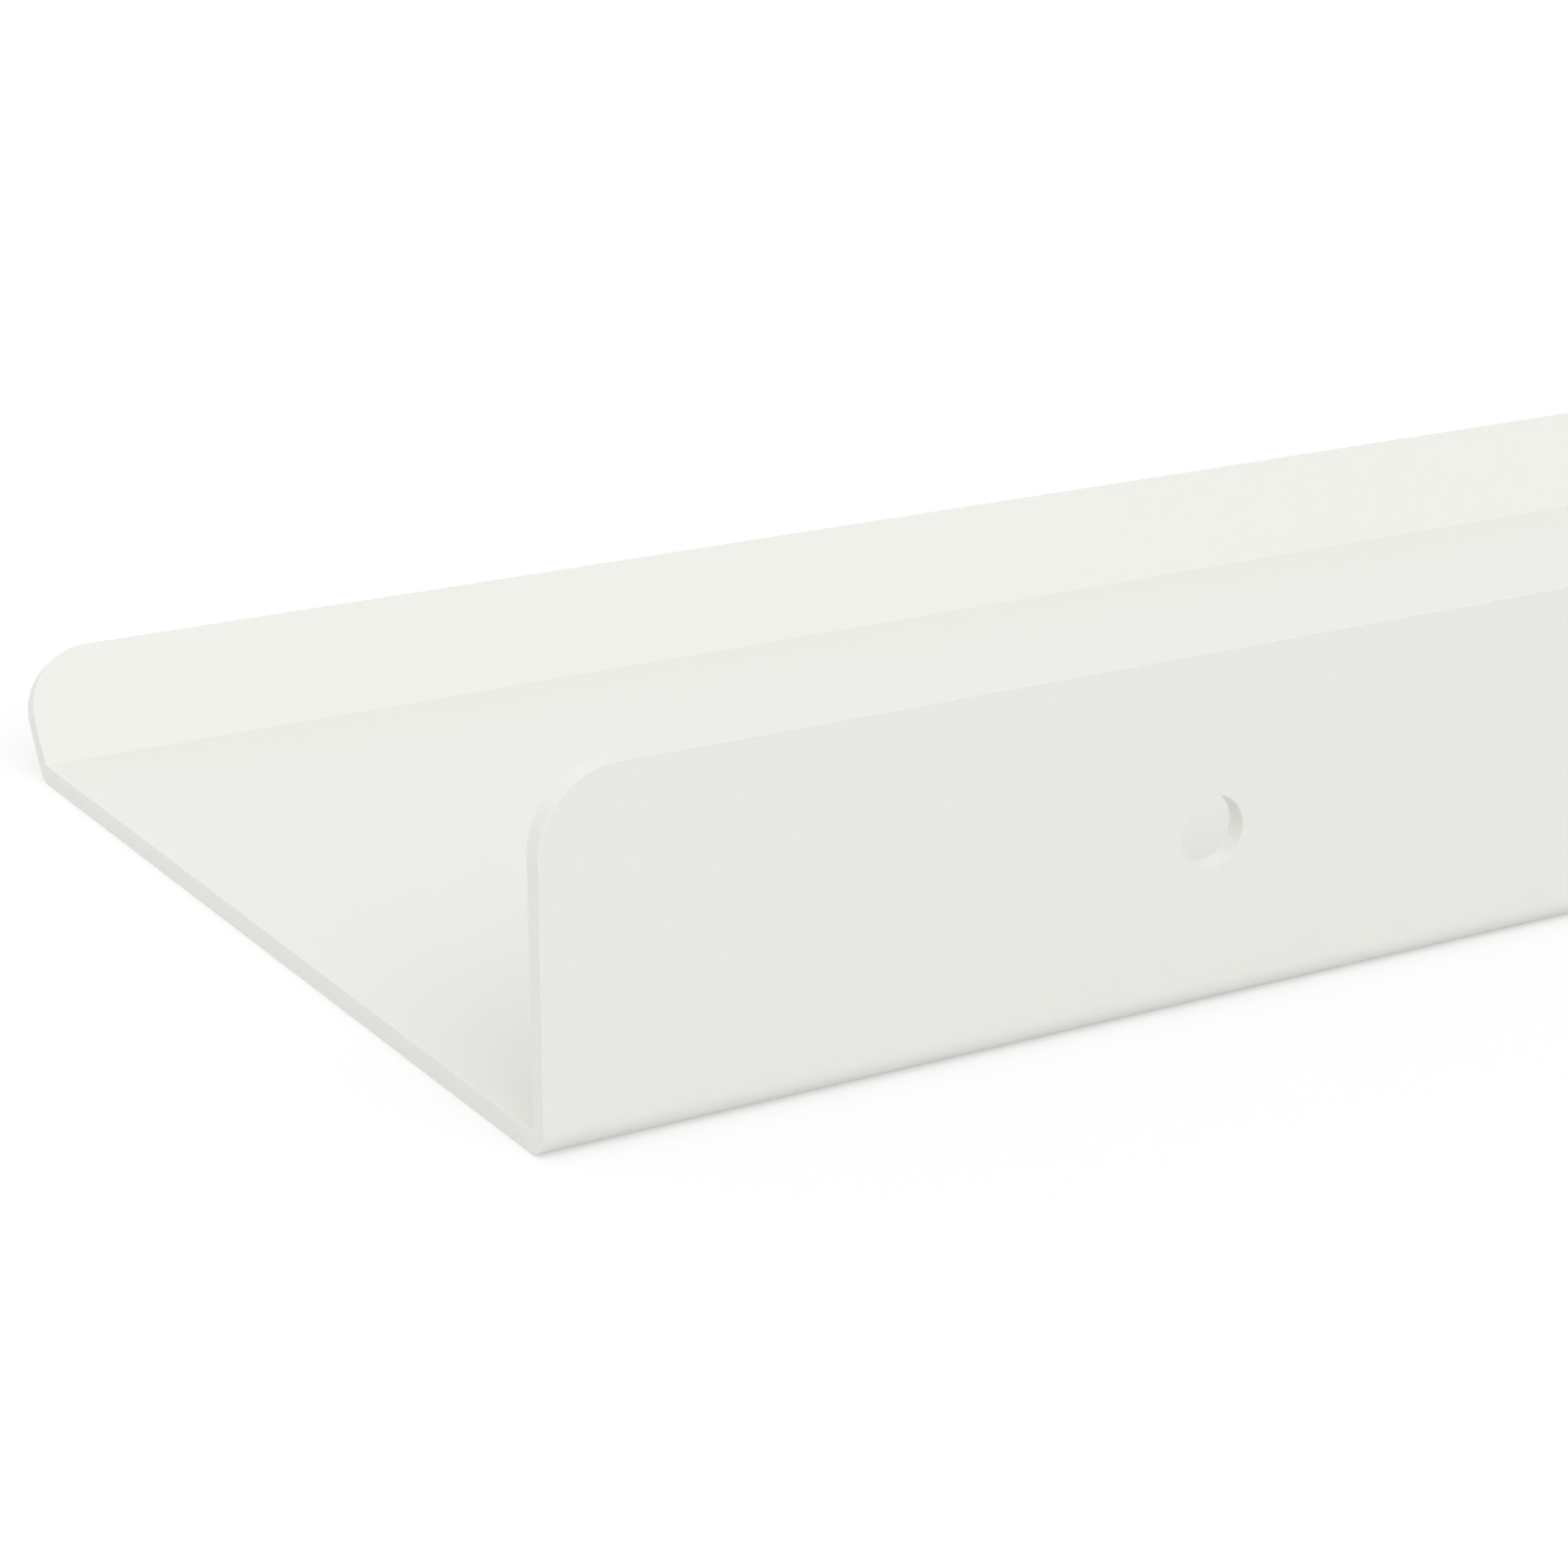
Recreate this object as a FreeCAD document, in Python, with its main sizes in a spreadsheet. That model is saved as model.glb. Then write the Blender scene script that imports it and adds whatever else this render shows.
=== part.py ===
"""Floating wall shelf: one folded sheet with its wall screws and wall plugs.

The shelf is a single steel sheet folded along its length into a wall flange, a flat
base and a low front lip that leans outwards. Two round holes in the flange take the
wall screws. The screws and their plugs lie loose on the base, ready to be fitted.

Frame: +X along the shelf, +Y into the wall, +Z up. The origin is on the wall face,
at the height of the screw holes and half-way between them.
"""
import FreeCAD, Part
import math
import os

import Sketcher
from FreeCAD import Placement, Rotation, Vector

# Driving dimensions, in millimetres and degrees: name, value, meaning.
DIMENSIONS = [
    ("shelf_length", 600, "overall length along the wall"),
    ("base_depth", 85, "wall face to the outer corner of the lip's fold"),
    ("flange_height", 25, "underside to the top edge of the wall flange"),
    ("lip_width", 10, "outer corner of the lip's fold to its free edge, along the slope"),
    ("lip_lean", 30, "lean of the lip away from upright"),
    ("sheet_gauge", 1.5, "thickness of the sheet"),
    ("inner_bend", 0.3, "inside radius of both folds"),
    ("corner_round", 5.5, "radius of the free corners of flange and lip"),
    ("edge_break", 0.06, "rounding of the cut edges"),
    ("hole_bore", 5, "diameter of a wall hole"),
    ("hole_inset", 50, "end of the shelf to the centre of a wall hole"),
    ("hole_rise", 12.5, "underside to the centre of a wall hole"),
    ("screw_play", 0.5, "difference in diameter between wall hole and thread"),
    ("head_cover", 1.9, "width of the ring on which the screw head bears round a wall hole"),
    ("head_thick", 3, "height of the screw head"),
    ("head_round", 1.7, "rounding of the screw head's upper rim"),
    ("screw_reach", 40, "bearing face of the screw head to the point"),
    ("plain_neck", 5, "unthreaded neck under the screw head"),
    ("point_taper", 5.5, "length of the tapered point"),
    ("point_blunt", 0.25, "radius of the blunt end of the point"),
    ("thread_depth", 0.75, "height of the thread above the core"),
    ("thread_pitch", 2, "distance between turns of the thread"),
    ("thread_root", 0.9, "width of the thread at the core"),
    ("thread_crest", 0.25, "width of the thread at its crest"),
    ("recess_span", 4.4, "width across the cross recess"),
    ("recess_slot", 1.1, "width of one wing of the cross recess"),
    ("recess_sink", 1.8, "depth of the cross recess"),
    ("recess_taper", 8, "slope of the cross recess's walls"),
    ("plug_reach", 30, "length of the wall plug"),
    ("plug_play", 0.4, "difference in diameter between the plug's bore and the screw's core"),
    ("plug_wall", 1.3, "bore of the plug to the crests of its teeth"),
    ("tooth_depth", 0.45, "height of the plug's teeth"),
    ("tooth_pitch", 2.5, "distance between the plug's teeth"),
    ("collar_width", 0.9, "overhang of the plug's collar past its teeth"),
    ("collar_thick", 0.8, "thickness of the plug's collar"),
    ("slit_width", 0.9, "width of the slits between the plug's fingers"),
    ("slit_start", 9, "mouth of the plug to the start of its slits"),
    ("kit_inset", 20, "wall hole to the first loose fixing, along the shelf"),
    ("kit_pitch", 14, "distance between loose fixings"),
    ("kit_setback", 14, "wall face to the bearing faces of the loose fixings"),
    ("rest_gap", 0.25, "clearance under a loose fixing"),
]
TOOTH_COUNT = 9

# Sizes of the fixings that follow from the wall hole and from each other, as formulas.
THREAD_RADIUS = "(sizes.hole_bore - sizes.screw_play) / 2"
CORE_RADIUS = f"({THREAD_RADIUS} - sizes.thread_depth)"
HEAD_RADIUS = "(sizes.hole_bore / 2 + sizes.head_cover)"
BORE_RADIUS = f"({CORE_RADIUS} + sizes.plug_play / 2)"
CREST_RADIUS = f"({BORE_RADIUS} + sizes.plug_wall)"
TOOTH_ROOT = f"({CREST_RADIUS} - sizes.tooth_depth)"
COLLAR_RADIUS = f"({CREST_RADIUS} + sizes.collar_width)"

# Smallest lengthwise part of a unit vector that counts as along the shelf.
LENGTHWISE = 0.5


def make_sizes(doc):
    """Put the driving dimensions in a spreadsheet named sizes, one named cell each."""
    sheet = doc.addObject("Spreadsheet::Sheet", "sizes")
    for row, (name, value, meaning) in enumerate(DIMENSIONS, start=1):
        sheet.set(f"A{row}", meaning)
        sheet.set(f"B{row}", str(value))
        sheet.setAlias(f"B{row}", name)
    doc.recompute()
    return {name: value for name, value, meaning in DIMENSIONS}


def new_body(doc, node):
    """A PartDesign body whose label names its sub-part."""
    body = doc.addObject("PartDesign::Body", node)
    body.Label = node
    return body


def new_sketch(body, name, role):
    """An empty sketch on one of the body's own origin planes."""
    sketch = body.newObject("Sketcher::SketchObject", name)
    plane = next(item for item in body.Origin.OriginFeatures if item.Role == role)
    sketch.AttachmentSupport = [(plane, "")]
    sketch.MapMode = "FlatFace"
    return sketch


def draw_outline(sketch, points):
    """Draw a closed outline of straight lines through the points."""
    count = len(points)
    for index in range(count):
        sketch.addGeometry(Part.LineSegment(points[index], points[(index + 1) % count]))
    for index in range(count):
        relate(sketch, "Coincident", index, 2, (index + 1) % count, 1)


def relate(sketch, *relation):
    """Add a relation without a size, such as Vertical or Parallel."""
    sketch.addConstraint(Sketcher.Constraint(*relation))


def dimension(sketch, name, formula, *relation):
    """Add a dimension and bind it to a formula on the sheet of sizes."""
    value = sketch.evalExpression(formula)
    index = sketch.addConstraint(Sketcher.Constraint(*relation, value))
    sketch.renameConstraint(index, name)
    sketch.setExpression(f"Constraints.{name}", formula)


def corner_sketch(body, name, role, corners):
    """A closed outline whose corners are dimensioned from the sketch's origin.

    Each corner is a pair of formulas, across and up. None puts it on that axis.
    """
    sketch = new_sketch(body, name, role)
    step = 2 * math.pi / len(corners)
    rough = [Vector(math.cos(i * step), math.sin(i * step), 0) for i in range(len(corners))]
    draw_outline(sketch, rough)
    for index, (across, up) in enumerate(corners):
        if across is None:
            relate(sketch, "PointOnObject", index, 1, -2)
        else:
            dimension(sketch, f"across_{index}", across, "DistanceX", -1, 1, index, 1)
        if up is None:
            relate(sketch, "PointOnObject", index, 1, -1)
        else:
            dimension(sketch, f"up_{index}", up, "DistanceY", -1, 1, index, 1)
    return sketch


def turn_round(body, kind, name, sketch):
    """Add or cut what a sketch sweeps in one turn round its vertical axis."""
    turned = body.newObject(f"PartDesign::{kind}", name)
    turned.Profile = sketch
    turned.ReferenceAxis = (sketch, ["V_Axis"])
    turned.Angle = 360


def cut_through(body, name, sketch, length):
    """Cut a sketch out of the body, half of the length to each side of its plane."""
    pocket = body.newObject("PartDesign::Pocket", name)
    pocket.Profile = sketch
    pocket.SideType = "Symmetric"
    pocket.setExpression("Length", length)


def round_edges(body, name, radius, choose):
    """Fillet the edges of the body's shape so far that the test picks."""
    body.Document.recompute()
    base = body.Tip
    picked = [f"Edge{i}" for i, edge in enumerate(base.Shape.Edges, start=1) if choose(edge)]
    fillet = body.newObject("PartDesign::Fillet", name)
    fillet.Base = (base, picked)
    fillet.setExpression("Radius", radius)
    body.Document.recompute()


def draw_fold(body, sizes):
    """Section of the sheet with sharp folds: wall flange, base and leaning lip.

    The outline starts near its true shape, with an upright lip, so that the thickness
    of the sheet stays on the inside. The relations and dimensions then place it.
    """
    gauge = sizes["sheet_gauge"]
    front = -sizes["base_depth"]
    low = -sizes["hole_rise"]
    high = low + sizes["flange_height"]
    rim = low + sizes["lip_width"]
    sketch = new_sketch(body, "fold_section", "YZ_Plane")
    draw_outline(sketch, [
        Vector(0, low, 0),
        Vector(0, high, 0),
        Vector(-gauge, high, 0),
        Vector(-gauge, low + gauge, 0),
        Vector(front + gauge, low + gauge, 0),
        Vector(front + gauge, rim, 0),
        Vector(front, rim, 0),
        Vector(front, low, 0),
    ])
    wall, flange_edge, flange, floor, lip_inside, lip_edge, lip, underside = range(8)
    relate(sketch, "Vertical", wall)
    relate(sketch, "Vertical", flange)
    relate(sketch, "Horizontal", flange_edge)
    relate(sketch, "Horizontal", floor)
    relate(sketch, "Horizontal", underside)
    relate(sketch, "Parallel", lip_inside, lip)
    relate(sketch, "Perpendicular", lip_edge, lip)
    relate(sketch, "PointOnObject", wall, 1, -2)
    dimension(sketch, "rise", "sizes.hole_rise", "DistanceY", wall, 1, -1, 1)
    dimension(sketch, "height", "sizes.flange_height", "Distance", wall)
    dimension(sketch, "depth", "sizes.base_depth", "Distance", underside)
    dimension(sketch, "slope", "sizes.lip_width", "Distance", lip)
    dimension(sketch, "flange_gauge", "sizes.sheet_gauge", "Distance", flange_edge)
    dimension(sketch, "base_gauge", "sizes.sheet_gauge", "DistanceY", wall, 1, floor, 1)
    dimension(sketch, "lip_gauge", "sizes.sheet_gauge", "Distance", lip_edge)
    dimension(sketch, "fold", "(90 + sizes.lip_lean) * 1 deg", "Angle", underside, 1, lip, 2)
    return sketch


def draw_holes(body):
    """Two circles at hole height, the same distance from both ends of the shelf."""
    sketch = new_sketch(body, "wall_holes", "XZ_Plane")
    place = "sizes.shelf_length / 2 - sizes.hole_inset"
    for index, (side, sign) in enumerate([("left", "-"), ("right", "")]):
        sketch.addGeometry(Part.Circle())
        relate(sketch, "PointOnObject", index, 3, -1)
        dimension(sketch, f"{side}_bore", "sizes.hole_bore", "Diameter", index)
        dimension(sketch, f"{side}_place", f"{sign}({place})", "DistanceX", -1, 1, index, 3)
    return sketch


def make_shelf(doc, sizes):
    """The folded sheet, with rounded corners, two wall holes and broken edges."""
    body = new_body(doc, "shelf_body")
    sheet = body.newObject("PartDesign::Pad", "folded_sheet")
    sheet.Profile = draw_fold(body, sizes)
    sheet.SideType = "Symmetric"
    sheet.setExpression("Length", "sizes.shelf_length")

    edge_area = 2 * sizes["sheet_gauge"] * sizes["shelf_length"]
    mid_sheet = sizes["sheet_gauge"] / 2 - sizes["hole_rise"]
    above_sheet = mid_sheet + sizes["sheet_gauge"]

    def is_cut(face):
        """Whether a face was cut, so that it shows the thickness of the sheet."""
        lengthwise = abs(face.Surface.Axis.x) > LENGTHWISE
        if face.Surface.TypeId == "Part::GeomCylinder":
            return not lengthwise
        return lengthwise or face.Area < edge_area

    def cut_sides(edge):
        """How many cut faces an edge lies on."""
        cut = [face for face in body.Tip.Shape.Faces if is_cut(face)]
        return sum(any(edge.isSame(side) for side in face.Edges) for face in cut)

    def is_outer_fold(edge):
        """Whether an edge runs along the outside of a fold."""
        return cut_sides(edge) == 0 and edge.CenterOfMass.z < mid_sheet

    def is_inner_fold(edge):
        """Whether an edge runs along the inside of a fold."""
        return cut_sides(edge) == 0 and mid_sheet < edge.CenterOfMass.z < above_sheet

    round_edges(body, "outer_folds", "sizes.inner_bend + sizes.sheet_gauge", is_outer_fold)
    round_edges(body, "inner_folds", "sizes.inner_bend", is_inner_fold)
    round_edges(body, "free_corners", "sizes.corner_round", lambda edge: cut_sides(edge) == 2)
    cut_through(body, "drilled_holes", draw_holes(body), "4 * sizes.sheet_gauge")
    round_edges(body, "broken_edges", "sizes.edge_break", lambda edge: cut_sides(edge) == 1)


def lay_down(body, place, rim_radius, far_radius, span):
    """Lay a fixing on the base, its head to the wall, so that both its ends touch down.

    rim_radius is the radius of its head, and far_radius that of its stem at the
    distance span from the head.
    """
    tilt = f"atan(({rim_radius} - {far_radius}) / ({span}))"
    floor = "sizes.sheet_gauge - sizes.hole_rise + sizes.rest_gap"
    first = "sizes.hole_inset + sizes.kit_inset - sizes.shelf_length / 2"
    body.Placement = Placement(Vector(), Rotation(Vector(-1, 0, 0), 90))
    body.setExpression("Placement.Rotation.Angle", f"90 deg - {tilt}")
    body.setExpression("Placement.Base.x", f"{first} + {place} * sizes.kit_pitch")
    body.setExpression("Placement.Base.y", "-sizes.kit_setback")
    body.setExpression("Placement.Base.z", f"{floor} + {rim_radius} * cos({tilt})")


def draw_blank(body):
    """Half section of a screw before its thread is rolled."""
    return corner_sketch(body, "blank_section", "XZ_Plane", [
        (None, "sizes.head_thick"),
        (HEAD_RADIUS, "sizes.head_thick"),
        (HEAD_RADIUS, None),
        (CORE_RADIUS, None),
        (CORE_RADIUS, "sizes.point_taper - sizes.screw_reach"),
        ("sizes.point_blunt", "-sizes.screw_reach"),
        (None, "-sizes.screw_reach"),
    ])


def draw_thread(body):
    """Section of one turn of the thread, with a stem that reaches into the core."""
    foot = "(-sizes.screw_reach - sizes.thread_root)"
    flank = "(sizes.thread_root - sizes.thread_crest) / 2"
    stem = "sizes.point_blunt / 2"
    return corner_sketch(body, "thread_section", "XZ_Plane", [
        (stem, foot),
        (CORE_RADIUS, foot),
        (THREAD_RADIUS, f"{foot} + {flank}"),
        (THREAD_RADIUS, f"{foot} + {flank} + sizes.thread_crest"),
        (CORE_RADIUS, f"{foot} + sizes.thread_root"),
        (stem, f"{foot} + sizes.thread_root"),
    ])


def draw_point(body):
    """Half section of all that is trimmed away round the tapered point."""
    shoulder = "sizes.point_taper - sizes.screw_reach"
    below = "-sizes.screw_reach - 2 * sizes.thread_pitch"
    outside = f"{THREAD_RADIUS} + sizes.thread_pitch"
    tip = "sizes.point_blunt + sizes.thread_crest / 2"
    return corner_sketch(body, "point_section", "XZ_Plane", [
        (tip, "-sizes.screw_reach"),
        (THREAD_RADIUS, shoulder),
        (outside, shoulder),
        (outside, below),
        (tip, below),
    ])


def draw_recess(body):
    """Outline of the cross recess, on top of the head."""
    wing = "sizes.recess_slot / 2"
    arm = "sizes.recess_span / 2"
    quarter = [(arm, wing), (wing, wing), (wing, arm)]
    corners = quarter + [(f"-{across}", up) for across, up in reversed(quarter)]
    corners += [(across, f"-{up}") for across, up in reversed(corners)]
    sketch = corner_sketch(body, "recess_section", "XY_Plane", corners)
    sketch.setExpression("AttachmentOffset.Base.z", "sizes.head_thick")
    return sketch


def make_screw(doc, sizes, node, place):
    """A pan-head wood screw with a coarse thread and a cross recess."""
    body = new_body(doc, node)
    turn_round(body, "Revolution", "screw_blank", draw_blank(body))

    thread = body.newObject("PartDesign::AdditiveHelix", "thread")
    section = draw_thread(body)
    thread.Profile = section
    thread.ReferenceAxis = (section, ["V_Axis"])
    thread.Mode = "pitch-height-angle"
    thread.Angle = 0
    thread.setExpression("Pitch", "sizes.thread_pitch")
    thread.setExpression("Height", "sizes.screw_reach - sizes.plain_neck")
    turn_round(body, "Groove", "point", draw_point(body))

    recess = body.newObject("PartDesign::Pocket", "cross_recess")
    recess.Profile = draw_recess(body)
    recess.setExpression("Length", "sizes.recess_sink")
    recess.setExpression("TaperAngle", "-sizes.recess_taper")

    def is_upper_rim(edge):
        """Whether an edge is the circle round the top of the head."""
        wide = edge.BoundBox.DiagonalLength > 2 * sizes["recess_span"]
        return wide and edge.CenterOfMass.z > sizes["head_thick"] / 2

    round_edges(body, "head_rim", "sizes.head_round", is_upper_rim)
    lay_down(body, place, HEAD_RADIUS, THREAD_RADIUS, "sizes.screw_reach - sizes.point_taper")


def draw_plug(body):
    """Half section of a plug: bore, collar, plain neck and barbed teeth."""
    corners = [
        (BORE_RADIUS, None),
        (COLLAR_RADIUS, None),
        (COLLAR_RADIUS, "-sizes.collar_thick"),
        (TOOTH_ROOT, "-sizes.collar_thick"),
    ]
    for tooth in range(TOOTH_COUNT, 0, -1):
        level = f"{tooth} * sizes.tooth_pitch - sizes.plug_reach"
        corners += [(TOOTH_ROOT, level), (CREST_RADIUS, level)]
    corners += [(TOOTH_ROOT, "-sizes.plug_reach"), (BORE_RADIUS, "-sizes.plug_reach")]
    return corner_sketch(body, "plug_section", "XZ_Plane", corners)


def make_plug(doc, node, place):
    """A wall plug with barbed teeth, split into four fingers by two crossed slits."""
    body = new_body(doc, node)
    turn_round(body, "Revolution", "plug_blank", draw_plug(body))
    half = "sizes.slit_width / 2"
    below = "-sizes.plug_reach - sizes.tooth_pitch"
    for name, role in [("slit_across", "XZ_Plane"), ("slit_along", "YZ_Plane")]:
        outline = corner_sketch(body, f"{name}_section", role, [
            (half, "-sizes.slit_start"),
            (f"-{half}", "-sizes.slit_start"),
            (f"-{half}", below),
            (half, below),
        ])
        cut_through(body, name, outline, f"4 * {CREST_RADIUS}")
    lay_down(body, place, COLLAR_RADIUS, CREST_RADIUS, "sizes.plug_reach - sizes.tooth_pitch")


def export_bodies(doc):
    """Check every object, then write each body to a file with its label's name."""
    broken = [item.Name for item in doc.Objects if {"Invalid", "Error"} & set(item.State)]
    if broken:
        raise RuntimeError(f"these objects did not build: {broken}")
    bodies = [item for item in doc.Objects if item.TypeId == "PartDesign::Body"]
    for body in bodies:
        if body.Shape.isNull() or not body.Shape.isValid():
            raise RuntimeError(f"{body.Label} has no valid shape")
    os.makedirs("parts", exist_ok=True)
    for body in bodies:
        body.Shape.exportStep(f"parts/{body.Label}.step")
        print(f"{body.Label}: {len(body.Shape.Solids)} solid, {body.Shape.Volume:.1f} mm3")


def main():
    """Build the shelf, its two screws and its two plugs, and export them."""
    doc = FreeCAD.newDocument("wall_shelf")
    sizes = make_sizes(doc)
    make_shelf(doc, sizes)
    for place, number in enumerate([1, 2]):
        make_screw(doc, sizes, f"wall_screw_{number}", place)
        make_plug(doc, f"wall_plug_{number}", place + 2)
    doc.recompute()
    export_bodies(doc)


main()
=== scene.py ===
"""Looks of a folded wall shelf and its loose fixings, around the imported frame.

Places and sizes are in metres, in the frame's own axes: +X along the shelf, +Y into the
wall and +Z up. Colours are linear. The shelf, the screws and the plugs keep the shapes
that the frame gives them, and get their finishes here: powder coat, zinc plate and
moulded nylon.
"""

import logging
import math
from dataclasses import dataclass, field
from enum import Enum

import bpy
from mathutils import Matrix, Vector


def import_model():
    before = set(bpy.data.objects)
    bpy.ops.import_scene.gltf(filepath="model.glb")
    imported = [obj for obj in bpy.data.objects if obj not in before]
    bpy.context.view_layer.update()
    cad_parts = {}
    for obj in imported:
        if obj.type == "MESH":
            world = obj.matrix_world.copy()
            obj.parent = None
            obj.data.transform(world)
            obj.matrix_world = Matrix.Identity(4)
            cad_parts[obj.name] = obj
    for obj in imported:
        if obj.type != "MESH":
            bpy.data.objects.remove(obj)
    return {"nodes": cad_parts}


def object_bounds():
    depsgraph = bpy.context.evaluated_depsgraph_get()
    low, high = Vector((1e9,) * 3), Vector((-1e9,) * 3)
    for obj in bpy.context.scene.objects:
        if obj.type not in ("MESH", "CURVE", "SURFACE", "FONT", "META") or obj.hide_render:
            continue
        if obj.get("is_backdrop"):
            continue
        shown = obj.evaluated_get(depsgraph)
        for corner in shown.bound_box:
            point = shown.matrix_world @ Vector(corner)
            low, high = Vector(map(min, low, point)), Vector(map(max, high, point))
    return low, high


LOG = logging.getLogger("wall_shelf")
MM = 0.001

Triple = tuple[float, float, float]
Colour = tuple[float, float, float]
Socket = bpy.types.NodeSocket
Number = Socket | float
Arrow = Socket | Vector | Triple
Paint = Socket | Colour
Value = Socket | Vector | float | tuple[float, ...]

WHITE: Colour = (1.0, 1.0, 1.0)
ORIGIN: Triple = (0.0, 0.0, 0.0)
FULL = 1.0


class Slot(Enum):
    """The record's material slots."""

    POWDER_COAT = "powder_coat"
    ZINC_STEEL = "zinc_steel"
    GREY_NYLON = "grey_nylon"


class Blend(Enum):
    """Ways of combining two numbers in a shader."""

    ADD = "ADD"
    MULTIPLY = "MULTIPLY"
    RAISE = "POWER"
    GREATEST = "MAXIMUM"


class Pairing(Enum):
    """Ways of combining two vectors in a shader: Blender's operation, and the output to take."""

    DIFFERENCE = ("SUBTRACT", "Vector")
    ALONG = ("DOT_PRODUCT", "Value")
    ACROSS = ("CROSS_PRODUCT", "Vector")
    APART = ("DISTANCE", "Value")


class Ray(Enum):
    """Kinds of light ray that a shader can tell apart, by Blender's names."""

    CAMERA = "Is Camera Ray"
    GLOSSY = "Is Glossy Ray"
    THROUGH = "Is Transmission Ray"


class Output(Enum):
    """Where a finished surface goes, by Blender's names."""

    MATERIAL = "ShaderNodeOutputMaterial"
    WORLD = "ShaderNodeOutputWorld"


@dataclass(frozen=True)
class Grain:
    """A soft random pattern: the size of one grain, and how many finer octaves lie on it."""

    size: float
    octaves: float


def opaque(colour: Colour) -> tuple[float, float, float, float]:
    """The colour with full alpha, as a colour socket holds it."""
    return (*colour, FULL)


class Shader:
    """A material's or world's nodes, with short ways to add the kinds that are used here."""

    def __init__(self, owner: bpy.types.ID) -> None:
        """Empty the owner's node tree.

        Args:
            owner: The material or world whose nodes are to be written.
        """
        owner.use_nodes = True
        self.tree = owner.node_tree
        self.tree.nodes.clear()

    def node(self, kind: str, **sockets: Value) -> bpy.types.Node:
        """Add a node and feed its inputs.

        Args:
            kind: Blender's name for the node's type.
            sockets: Input names, with _ for a space, to a value or another socket.

        Returns:
            The new node.
        """
        made = self.tree.nodes.new(kind)
        for name, value in sockets.items():
            self.feed(made.inputs[name.replace("_", " ")], value)
        return made

    def feed(self, socket: Socket, value: Value) -> None:
        """Link a socket to another one, or give it a plain value.

        Args:
            socket: The input to feed.
            value: A socket to link from, or the value itself.
        """
        if isinstance(value, Socket):
            self.tree.links.new(value, socket)
        else:
            socket.default_value = value

    def place(self) -> Socket:
        """The surface's own place, in metres, which moves with the piece."""
        return self.node("ShaderNodeTexCoord").outputs["Object"]

    def stretch(self, place: Socket, scale: Triple) -> Socket:
        """Scale a place along each axis, to draw a grain out.

        Args:
            place: The place to scale.
            scale: One factor for each axis.

        Returns:
            The scaled place.
        """
        return self.node("ShaderNodeMapping", Vector=place, Scale=scale).outputs["Vector"]

    def noise(self, place: Socket, grain: Grain) -> Socket:
        """Soft noise from 0 to 1.

        Args:
            place: Where on the surface it is read.
            grain: The grain of the noise.

        Returns:
            The noise's value.
        """
        made = self.node("ShaderNodeTexNoise", Vector=place, Scale=1 / grain.size, Detail=grain.octaves)
        return made.outputs["Fac"]

    def span(self, value: Socket, low: float, high: float, start: float = 0.0, end: float = 1.0) -> Socket:
        """Carry a value from one range over to another, and hold it at the ends.

        Args:
            value: The value to carry over.
            low: Result at the start.
            high: Result at the end.
            start: Value that gives low.
            end: Value that gives high.

        Returns:
            The carried value.
        """
        made = self.node("ShaderNodeMapRange", Value=value)
        for name, number in {"From Min": start, "From Max": end, "To Min": low, "To Max": high}.items():
            made.inputs[name].default_value = number
        return made.outputs["Result"]

    def sway(self, value: Socket, middle: float, play: float) -> Socket:
        """Carry a value from 0 to 1 over to a range on both sides of a middle.

        Args:
            value: The value to carry over.
            middle: The middle of the range.
            play: How far the range goes to each side.

        Returns:
            The carried value.
        """
        return self.span(value, middle - play, middle + play)

    def join(self, blend: Blend, first: Number, second: Number) -> Socket:
        """Combine two numbers.

        Args:
            blend: How they are combined.
            first: The first number or socket.
            second: The second number or socket.

        Returns:
            The combined value.
        """
        made = self.tree.nodes.new("ShaderNodeMath")
        made.operation = blend.value
        self.feed(made.inputs[0], first)
        self.feed(made.inputs[1], second)
        return made.outputs["Value"]

    def pair(self, pairing: Pairing, first: Arrow, second: Arrow) -> Socket:
        """Combine two vectors.

        Args:
            pairing: How they are combined.
            first: The first vector or socket.
            second: The second vector or socket.

        Returns:
            The combined vector or number.
        """
        operation, result = pairing.value
        made = self.tree.nodes.new("ShaderNodeVectorMath")
        made.operation = operation
        self.feed(made.inputs[0], first)
        self.feed(made.inputs[1], second)
        return made.outputs[result]

    def tint(self, share: Socket, first: Paint, second: Paint) -> Socket:
        """Go from one colour to another.

        Args:
            share: 0 for the first colour, 1 for the second.
            first: The first colour or socket.
            second: The second colour or socket.

        Returns:
            The mixed colour.
        """
        made = self.tree.nodes.new("ShaderNodeMix")
        made.data_type = "RGBA"
        colours = [socket for socket in made.inputs if socket.type == "RGBA"]
        self.feed(made.inputs["Factor"], share)
        for socket, colour in zip(colours, (first, second)):
            self.feed(socket, colour if isinstance(colour, Socket) else opaque(colour))
        return next(socket for socket in made.outputs if socket.type == "RGBA")

    def bump(self, height: Socket, depth: float, under: Socket | None = None) -> Socket:
        """Turn a height into a dented normal.

        Args:
            height: Height from 0 to 1.
            depth: Its real depth, in metres.
            under: A normal that is dented already.

        Returns:
            The dented normal.
        """
        made = self.node("ShaderNodeBump", Height=height, Distance=depth, Strength=FULL)
        if under is not None:
            self.feed(made.inputs["Normal"], under)
        return made.outputs["Normal"]

    def rays(self, *kinds: Ray) -> Socket:
        """Tell some rays from all others.

        Args:
            kinds: The kinds of ray to pick.

        Returns:
            1 for those rays, 0 for any other.
        """
        path = self.node("ShaderNodeLightPath")
        picked = path.outputs[kinds[0].value]
        for kind in kinds[1:]:
            picked = self.join(Blend.GREATEST, picked, path.outputs[kind.value])
        return picked

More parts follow.
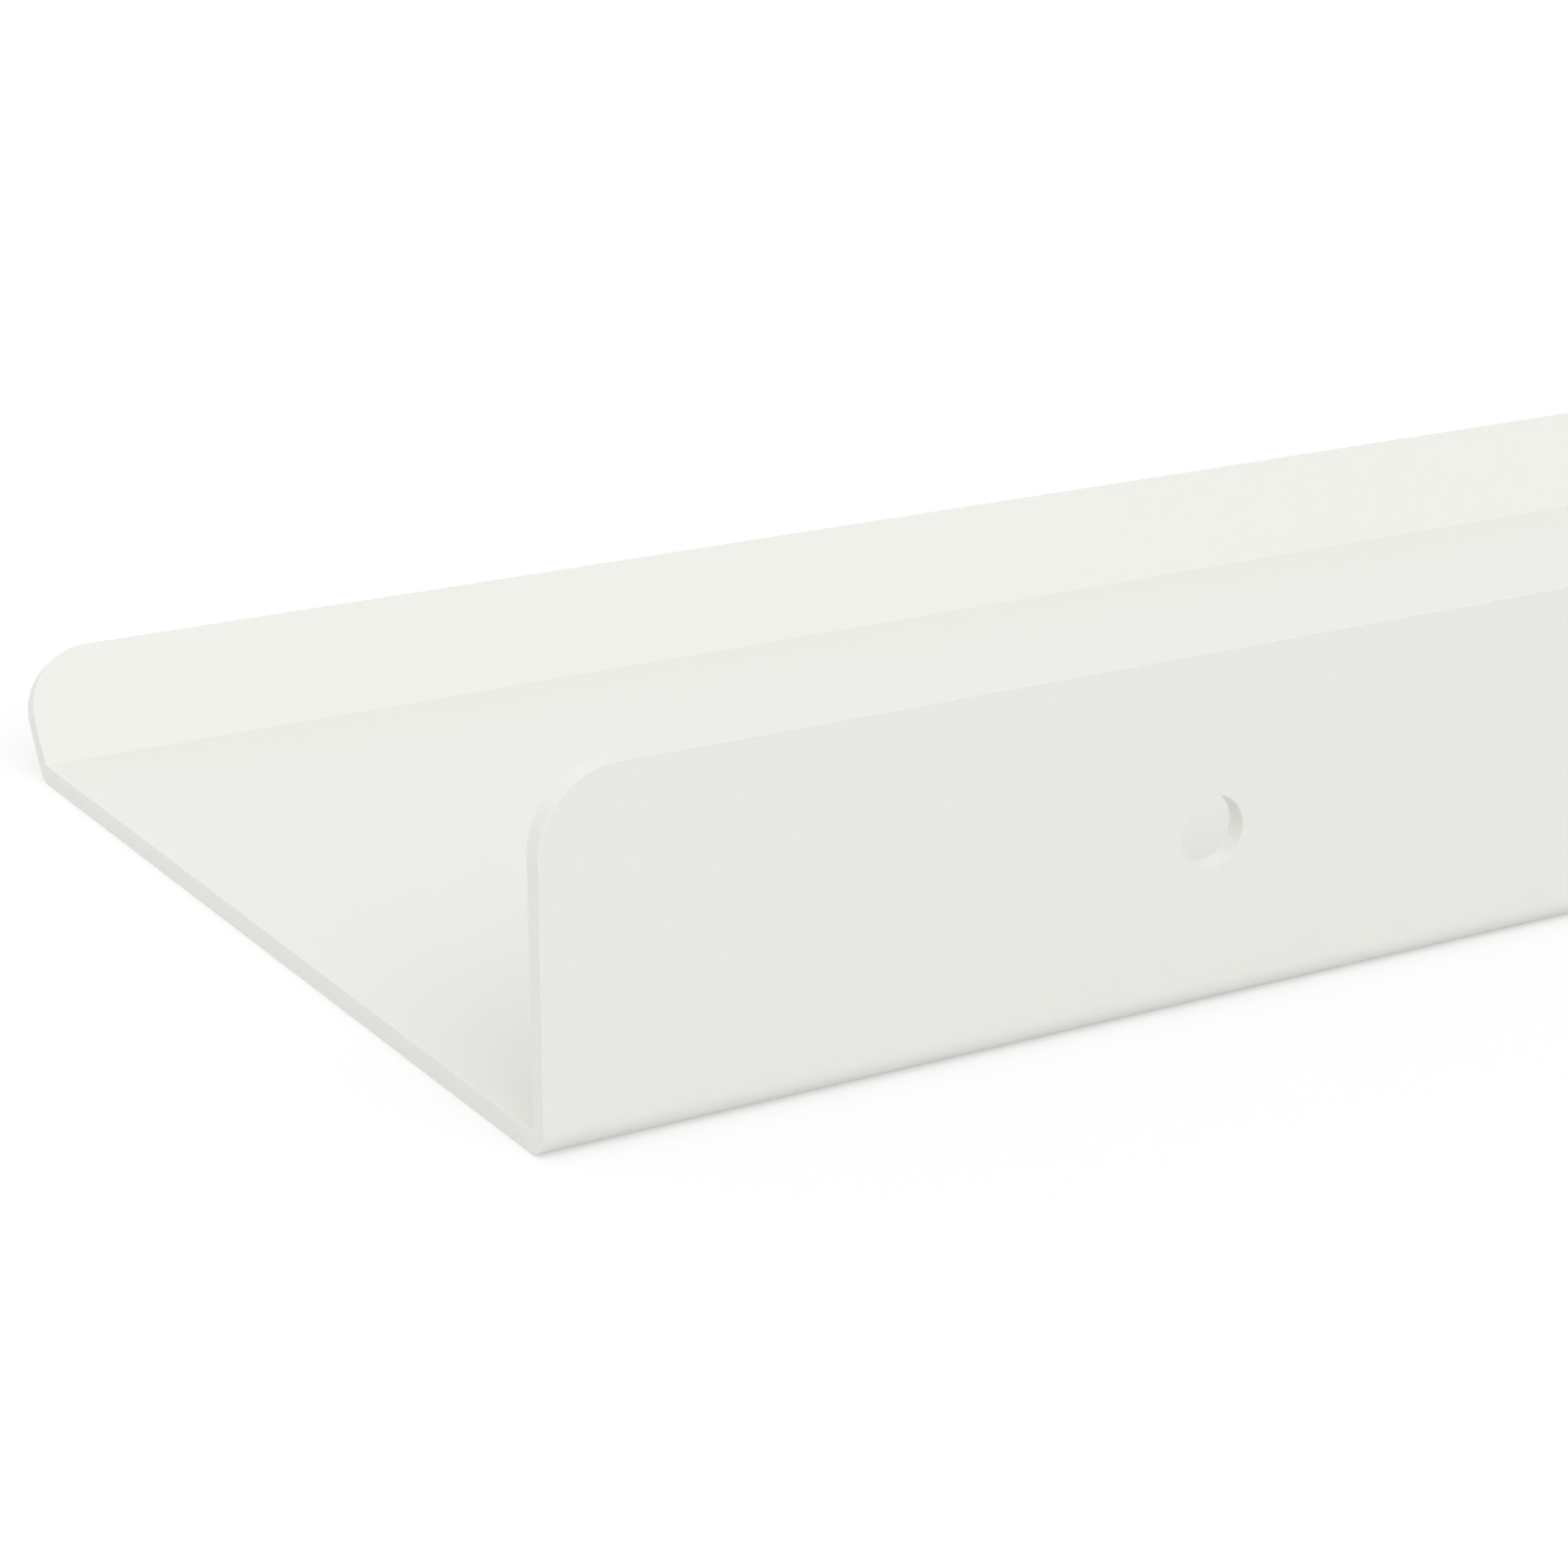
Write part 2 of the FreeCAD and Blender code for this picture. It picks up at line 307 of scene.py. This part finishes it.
    def mix(self, share: Socket, first: bpy.types.Node, second: bpy.types.Node) -> bpy.types.Node:
        """Go from one surface to another.

        Args:
            share: 0 for the first surface, 1 for the second.
            first: The first surface.
            second: The second surface.

        Returns:
            The mixed surface.
        """
        made = self.node("ShaderNodeMixShader", Fac=share)
        self.feed(made.inputs[1], first.outputs[0])
        self.feed(made.inputs[2], second.outputs[0])
        return made

    def close(self, output: Output, surface: bpy.types.Node) -> None:
        """Send a finished surface to the output.

        Args:
            output: The output that the owner has.
            surface: The shader node to show.
        """
        self.node(output.value, Surface=surface.outputs[0])


@dataclass(frozen=True)
class PowderCoat:
    """Matt off-white powder coat, a little cloudy, with the fine orange peel of baked powder."""

    colour: Colour = (0.838, 0.847, 0.803)
    shade: Colour = (0.830, 0.839, 0.795)
    clouds: Grain = Grain(35 * MM, 3.0)
    roughness: float = 0.52
    roughness_play: float = 0.05
    peel: Grain = Grain(1.4 * MM, 1.0)
    peel_depth: float = 0.03 * MM
    powder: Grain = Grain(0.3 * MM, 3.0)
    powder_depth: float = 0.008 * MM
    refraction: float = 1.5

    def material(self) -> bpy.types.Material:
        """Build the material.

        Returns:
            The material.
        """
        made = bpy.data.materials.new("powder_coat")
        shader = Shader(made)
        place = shader.place()
        powder = shader.noise(place, self.powder)
        peel = shader.bump(shader.noise(place, self.peel), self.peel_depth)
        surface = shader.node(
            "ShaderNodeBsdfPrincipled",
            Base_Color=shader.tint(shader.noise(place, self.clouds), self.colour, self.shade),
            Roughness=shader.sway(powder, self.roughness, self.roughness_play),
            Normal=shader.bump(powder, self.powder_depth, peel),
            IOR=self.refraction,
        )
        shader.close(Output.MATERIAL, surface)
        return made


@dataclass(frozen=True)
class ZincPlate:
    """Bright zinc over steel: bluish and a little streaked, dull and darker in the roots, where the
    darkening is painted shade of the thread hollows, and rubbed lighter on the crests.

    Attributes:
        bluish: The plating's main colour.
        straw: The colour of its streaks.
        rubbed: Its colour where it is rubbed.
        root_radius: Distance from the screw's axis up to which nothing is rubbed and the painted shade of
            the roots is full.
        crest_radius: Distance from which all is rubbed and no painted shade is left.
        bright: Roughness where it is rubbed.
        dull: Roughness in the roots.
        streaks: Grain of the streaks.
        streak_play: How far the streaks change the roughness, as a share of it.
        marks: Grain of the rings that the rolling and turning left.
        mark_depth: Depth of those rings.
    """

    bluish: Colour = (0.42, 0.45, 0.49)
    straw: Colour = (0.50, 0.49, 0.46)
    rubbed: Colour = (0.60, 0.61, 0.62)
    root_radius: float = 1.5 * MM
    crest_radius: float = 2.25 * MM
    bright: float = 0.18
    dull: float = 0.40
    streaks: Grain = Grain(1.8 * MM, 4.0)
    streak_play: float = 0.2
    marks: Grain = Grain(0.2 * MM, 2.0)
    mark_depth: float = 0.015 * MM

    def material(self, name: str, head: Vector, along: Vector) -> bpy.types.Material:
        """Build the material of one screw.

        Args:
            name: Name of the material.
            head: Centre of the screw's head.
            along: Direction from the head to the point.

        Returns:
            The material.
        """
        made = bpy.data.materials.new(name)
        shader = Shader(made)
        place = shader.place()
        arm = shader.pair(Pairing.DIFFERENCE, place, head)
        depth = shader.pair(Pairing.ALONG, arm, along)
        radius = shader.pair(Pairing.APART, shader.pair(Pairing.ACROSS, arm, along), ORIGIN)
        # Mask from the thread roots to the crests: the crests are lighter where rubbed, which is wear, and
        # the roots darker, which is painted shade of the thread hollows.
        rubbed_crest_and_root_shade = shader.span(radius, 0.0, 1.0, self.root_radius, self.crest_radius)
        streaks = shader.noise(place, self.streaks)
        # Read by depth and radius alone, the marks come out as rings round the axis.
        rings = shader.node("ShaderNodeCombineXYZ", X=depth, Y=radius).outputs["Vector"]
        marks = shader.noise(rings, self.marks)
        plated = shader.tint(streaks, self.bluish, self.straw)
        worn = shader.span(rubbed_crest_and_root_shade, self.dull, self.bright)
        uneven = shader.sway(streaks, FULL, self.streak_play)
        rough = shader.join(Blend.MULTIPLY, worn, uneven)
        surface = shader.node(
            "ShaderNodeBsdfPrincipled",
            # The plating stays darker in the roots as painted shade, and turns to the rubbed colour on the
            # crests.
            Base_Color=shader.tint(rubbed_crest_and_root_shade, plated, self.rubbed),
            Metallic=FULL,
            Roughness=rough,
            Normal=shader.bump(marks, self.mark_depth),
        )
        shader.close(Output.MATERIAL, surface)
        return made


@dataclass(frozen=True)
class MouldedNylon:
    """Grey nylon from a spark-eroded mould: matt, with faint flow lines along its length.

    Attributes:
        colour: The nylon's main colour.
        shade: The colour of its flow lines.
        roughness: Its middle roughness.
        roughness_play: How far the roughness goes to each side of that.
        flow: Grain of the flow lines, across them.
        flow_length: How many times longer than wide a flow line is.
        sparks: Grain of the mould's surface.
        spark_depth: Depth of that grain.
        refraction: Its index of refraction.
    """

    colour: Colour = (0.400, 0.415, 0.430)
    shade: Colour = (0.320, 0.335, 0.350)
    roughness: float = 0.42
    roughness_play: float = 0.06
    flow: Grain = Grain(0.7 * MM, 3.0)
    flow_length: float = 9.0
    sparks: Grain = Grain(0.25 * MM, 3.0)
    spark_depth: float = 0.03 * MM
    refraction: float = 1.53

    def material(self) -> bpy.types.Material:
        """Build the material of the plugs, which lie along Y.

        Returns:
            The material.
        """
        made = bpy.data.materials.new("grey_nylon")
        shader = Shader(made)
        place = shader.place()
        sparks = shader.noise(place, self.sparks)
        drawn_out = shader.stretch(place, (1, 1 / self.flow_length, 1))
        surface = shader.node(
            "ShaderNodeBsdfPrincipled",
            Base_Color=shader.tint(shader.noise(drawn_out, self.flow), self.colour, self.shade),
            Roughness=shader.sway(sparks, self.roughness, self.roughness_play),
            Normal=shader.bump(sparks, self.spark_depth),
            IOR=self.refraction,
        )
        shader.close(Output.MATERIAL, surface)
        return made


def dress(piece: bpy.types.Object, finish: bpy.types.Material) -> None:
    """Give a node of the frame its finish.

    Args:
        piece: The node to dress.
        finish: Its material.
    """
    piece.data.materials.clear()
    piece.data.materials.append(finish)
    LOG.info("%s wears %s", piece.name, finish.name)


@dataclass
class FoldedShelf:
    """The folded sheet itself."""

    name: str = "shelf_body"
    finish: PowderCoat = field(default_factory=PowderCoat)

    def build(self, nodes: dict[str, bpy.types.Object]) -> None:
        """Coat the sheet.

        Args:
            nodes: The frame's nodes by name.
        """
        dress(nodes[self.name], self.finish.material())


@dataclass
class WallScrews:
    """The loose wood screws, which lie with their heads towards +Y.

    Attributes:
        names: The screws' nodes.
        finish: Their plating.
        end_slice: How deep a slice at each end is averaged to find the screw's axis.
    """

    names: tuple[str, ...] = ("wall_screw_1", "wall_screw_2")
    finish: ZincPlate = field(default_factory=ZincPlate)
    end_slice: float = 0.5 * MM

    def axis(self, screw: bpy.types.Object) -> tuple[Vector, Vector]:
        """Find a screw's axis from its two ends.

        Args:
            screw: The screw's node.

        Returns:
            The centre of its head, and the direction from there to its point.
        """
        points = [vertex.co for vertex in screw.data.vertices]
        top = max(point.y for point in points) - self.end_slice
        bottom = min(point.y for point in points) + self.end_slice
        head = [point for point in points if point.y > top]
        tip = [point for point in points if point.y < bottom]
        centre = sum(head, Vector()) / len(head)
        return centre, (sum(tip, Vector()) / len(tip) - centre).normalized()

    def build(self, nodes: dict[str, bpy.types.Object]) -> None:
        """Plate each screw.

        Args:
            nodes: The frame's nodes by name.
        """
        for name in self.names:
            head, along = self.axis(nodes[name])
            dress(nodes[name], self.finish.material(f"zinc_{name}", head, along))


@dataclass
class WallPlugs:
    """The loose wall plugs, which lie along Y."""

    names: tuple[str, ...] = ("wall_plug_1", "wall_plug_2")
    finish: MouldedNylon = field(default_factory=MouldedNylon)

    def build(self, nodes: dict[str, bpy.types.Object]) -> None:
        """Colour each plug.

        Args:
            nodes: The frame's nodes by name.
        """
        nylon = self.finish.material()
        for name in self.names:
            dress(nodes[name], nylon)


@dataclass(frozen=True)
class SoftBox:
    """A soft light in the sky, brightest in one direction, and broad unless its fade is steep."""

    toward: Triple
    level: float
    fade: float = 2.0

    def glow(self, shader: Shader, direction: Socket) -> Socket:
        """Its light over the sky, which fades with a power of the cosine.

        Args:
            shader: The sky's shader.
            direction: The direction looked in.

        Returns:
            How bright this light is there.
        """
        facing = shader.pair(Pairing.ALONG, direction, Vector(self.toward).normalized())
        front = shader.join(Blend.GREATEST, facing, 0.0)
        return shader.join(Blend.MULTIPLY, shader.join(Blend.RAISE, front, self.fade), self.level)


@dataclass
class Studio:
    """A plain white floor under soft boxes on all sides, the main one behind and above.

    Attributes:
        floor_reach: How far the floor goes from the origin, each way.
        floor_gap: How far it lies below the object's lowest point.
        floor_grey: Share of the light on it that it throws back.
        shadow_share: How much of the floor's shading is seen. The rest is plain white.
        mirror_share: How much of the sky that shiny surfaces mirror is plain white.
        lights: The soft boxes.
    """

    floor_reach: float = 6.0
    floor_gap: float = 0.05 * MM
    floor_grey: float = 0.8
    shadow_share: float = 0.5
    mirror_share: float = 0.3
    lights: tuple[SoftBox, ...] = (
        SoftBox((0, 0.77, 0.64), 1.78, fade=8.0),
        SoftBox((0, 0.80, 0.60), 0.40),
        SoftBox((0, 0, 1), 0.36),
        SoftBox((0.94, 0.05, 0.34), 0.82),
        SoftBox((-0.94, 0, 0.34), 0.40),
        SoftBox((0, -0.94, 0.34), 0.91),
    )

    def lay_floor(self, low: Vector) -> None:
        """Lay the floor under the object.

        Args:
            low: The object's lowest corner.
        """
        mesh = bpy.data.meshes.new("floor")
        reach, height = self.floor_reach, low.z - self.floor_gap
        corners = [(-reach, -reach), (reach, -reach), (reach, reach), (-reach, reach)]
        mesh.from_pydata([(x, y, height) for x, y in corners], [], [(0, 1, 2, 3)])
        mesh.materials.append(self.floor_paint())
        floor = bpy.data.objects.new("floor", mesh)
        bpy.context.scene.collection.objects.link(floor)
        floor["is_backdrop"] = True

    def floor_paint(self) -> bpy.types.Material:
        """Mix floor paint that looks white and keeps a soft shadow.

        Returns:
            The paint's material.
        """
        made = bpy.data.materials.new("floor_paint")
        shader = Shader(made)
        seen = shader.rays(Ray.CAMERA, Ray.GLOSSY, Ray.THROUGH)
        grey = (self.floor_grey, self.floor_grey, self.floor_grey)
        paint = shader.node("ShaderNodeBsdfDiffuse", Color=shader.tint(seen, grey, WHITE))
        white = shader.node("ShaderNodeEmission", Color=opaque(WHITE), Strength=FULL)
        share = shader.join(Blend.MULTIPLY, seen, 1 - self.shadow_share)
        shader.close(Output.MATERIAL, shader.mix(share, paint, white))
        return made

    def hang_sky(self) -> None:
        """Light everything softly, and show plain white behind it."""
        world = bpy.data.worlds.new("soft_sky")
        bpy.context.scene.world = world
        shader = Shader(world)
        direction = shader.node("ShaderNodeTexCoord").outputs["Generated"]
        level: Number = 0.0
        for light in self.lights:
            level = shader.join(Blend.ADD, light.glow(shader, direction), level)
        glossy = shader.join(Blend.MULTIPLY, shader.rays(Ray.GLOSSY), self.mirror_share)
        seen = shader.join(Blend.GREATEST, shader.rays(Ray.CAMERA, Ray.THROUGH), glossy)
        sky = shader.node("ShaderNodeBackground", Color=opaque(WHITE), Strength=level)
        white = shader.node("ShaderNodeBackground", Color=opaque(WHITE), Strength=FULL)
        shader.close(Output.WORLD, shader.mix(seen, sky, white))

    def build(self, low: Vector) -> None:
        """Set up the floor and the light.

        Args:
            low: The object's lowest corner.
        """
        self.lay_floor(low)
        self.hang_sky()
        LOG.info("studio with %d soft boxes", len(self.lights))


@dataclass(frozen=True)
class Viewpoint:
    """A camera behind and above the shelf's +X end, looking back along it.

    Attributes:
        eye: Where the camera stands.
        turn: How far it is turned away from looking along -Y, in degrees.
        tilt: How far it looks down, in degrees.
        lens: Focal length, in millimetres.
        film_width: Width of the picture on the film, in millimetres.
        nearest: Nearest distance that it sees.
        farthest: Farthest distance that it sees.
    """

    eye: Triple = (0.402164, 0.200706, 0.088143)
    turn: float = 30.709
    tilt: float = 18.719
    lens: float = 92.093
    film_width: float = 36.0
    nearest: float = 0.02
    farthest: float = 40.0

    def build(self) -> None:
        """Place the camera and make it the scene's own."""
        lens = bpy.data.cameras.new("camera")
        lens.sensor_width = self.film_width
        lens.lens = self.lens
        lens.clip_start, lens.clip_end = self.nearest, self.farthest
        camera = bpy.data.objects.new("camera", lens)
        bpy.context.scene.collection.objects.link(camera)
        turn, tilt = math.radians(self.turn), math.radians(self.tilt)
        forward = -Vector((math.sin(turn) * math.cos(tilt), math.cos(turn) * math.cos(tilt), math.sin(tilt)))
        camera.location = self.eye
        camera.rotation_euler = forward.to_track_quat("-Z", "Y").to_euler()
        bpy.context.scene.camera = camera


def main() -> None:
    """Load the frame, dress every piece and set up the studio round it."""
    logging.basicConfig(level=logging.INFO, format="%(name)s: %(message)s")
    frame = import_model()
    frame_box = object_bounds()
    bpy.context.scene.view_settings.view_transform = "Standard"
    for part in (FoldedShelf(), WallScrews(), WallPlugs()):
        part.build(frame["nodes"])
    Studio().build(frame_box[0])
    Viewpoint().build()


if __name__ == "__main__":
    main()
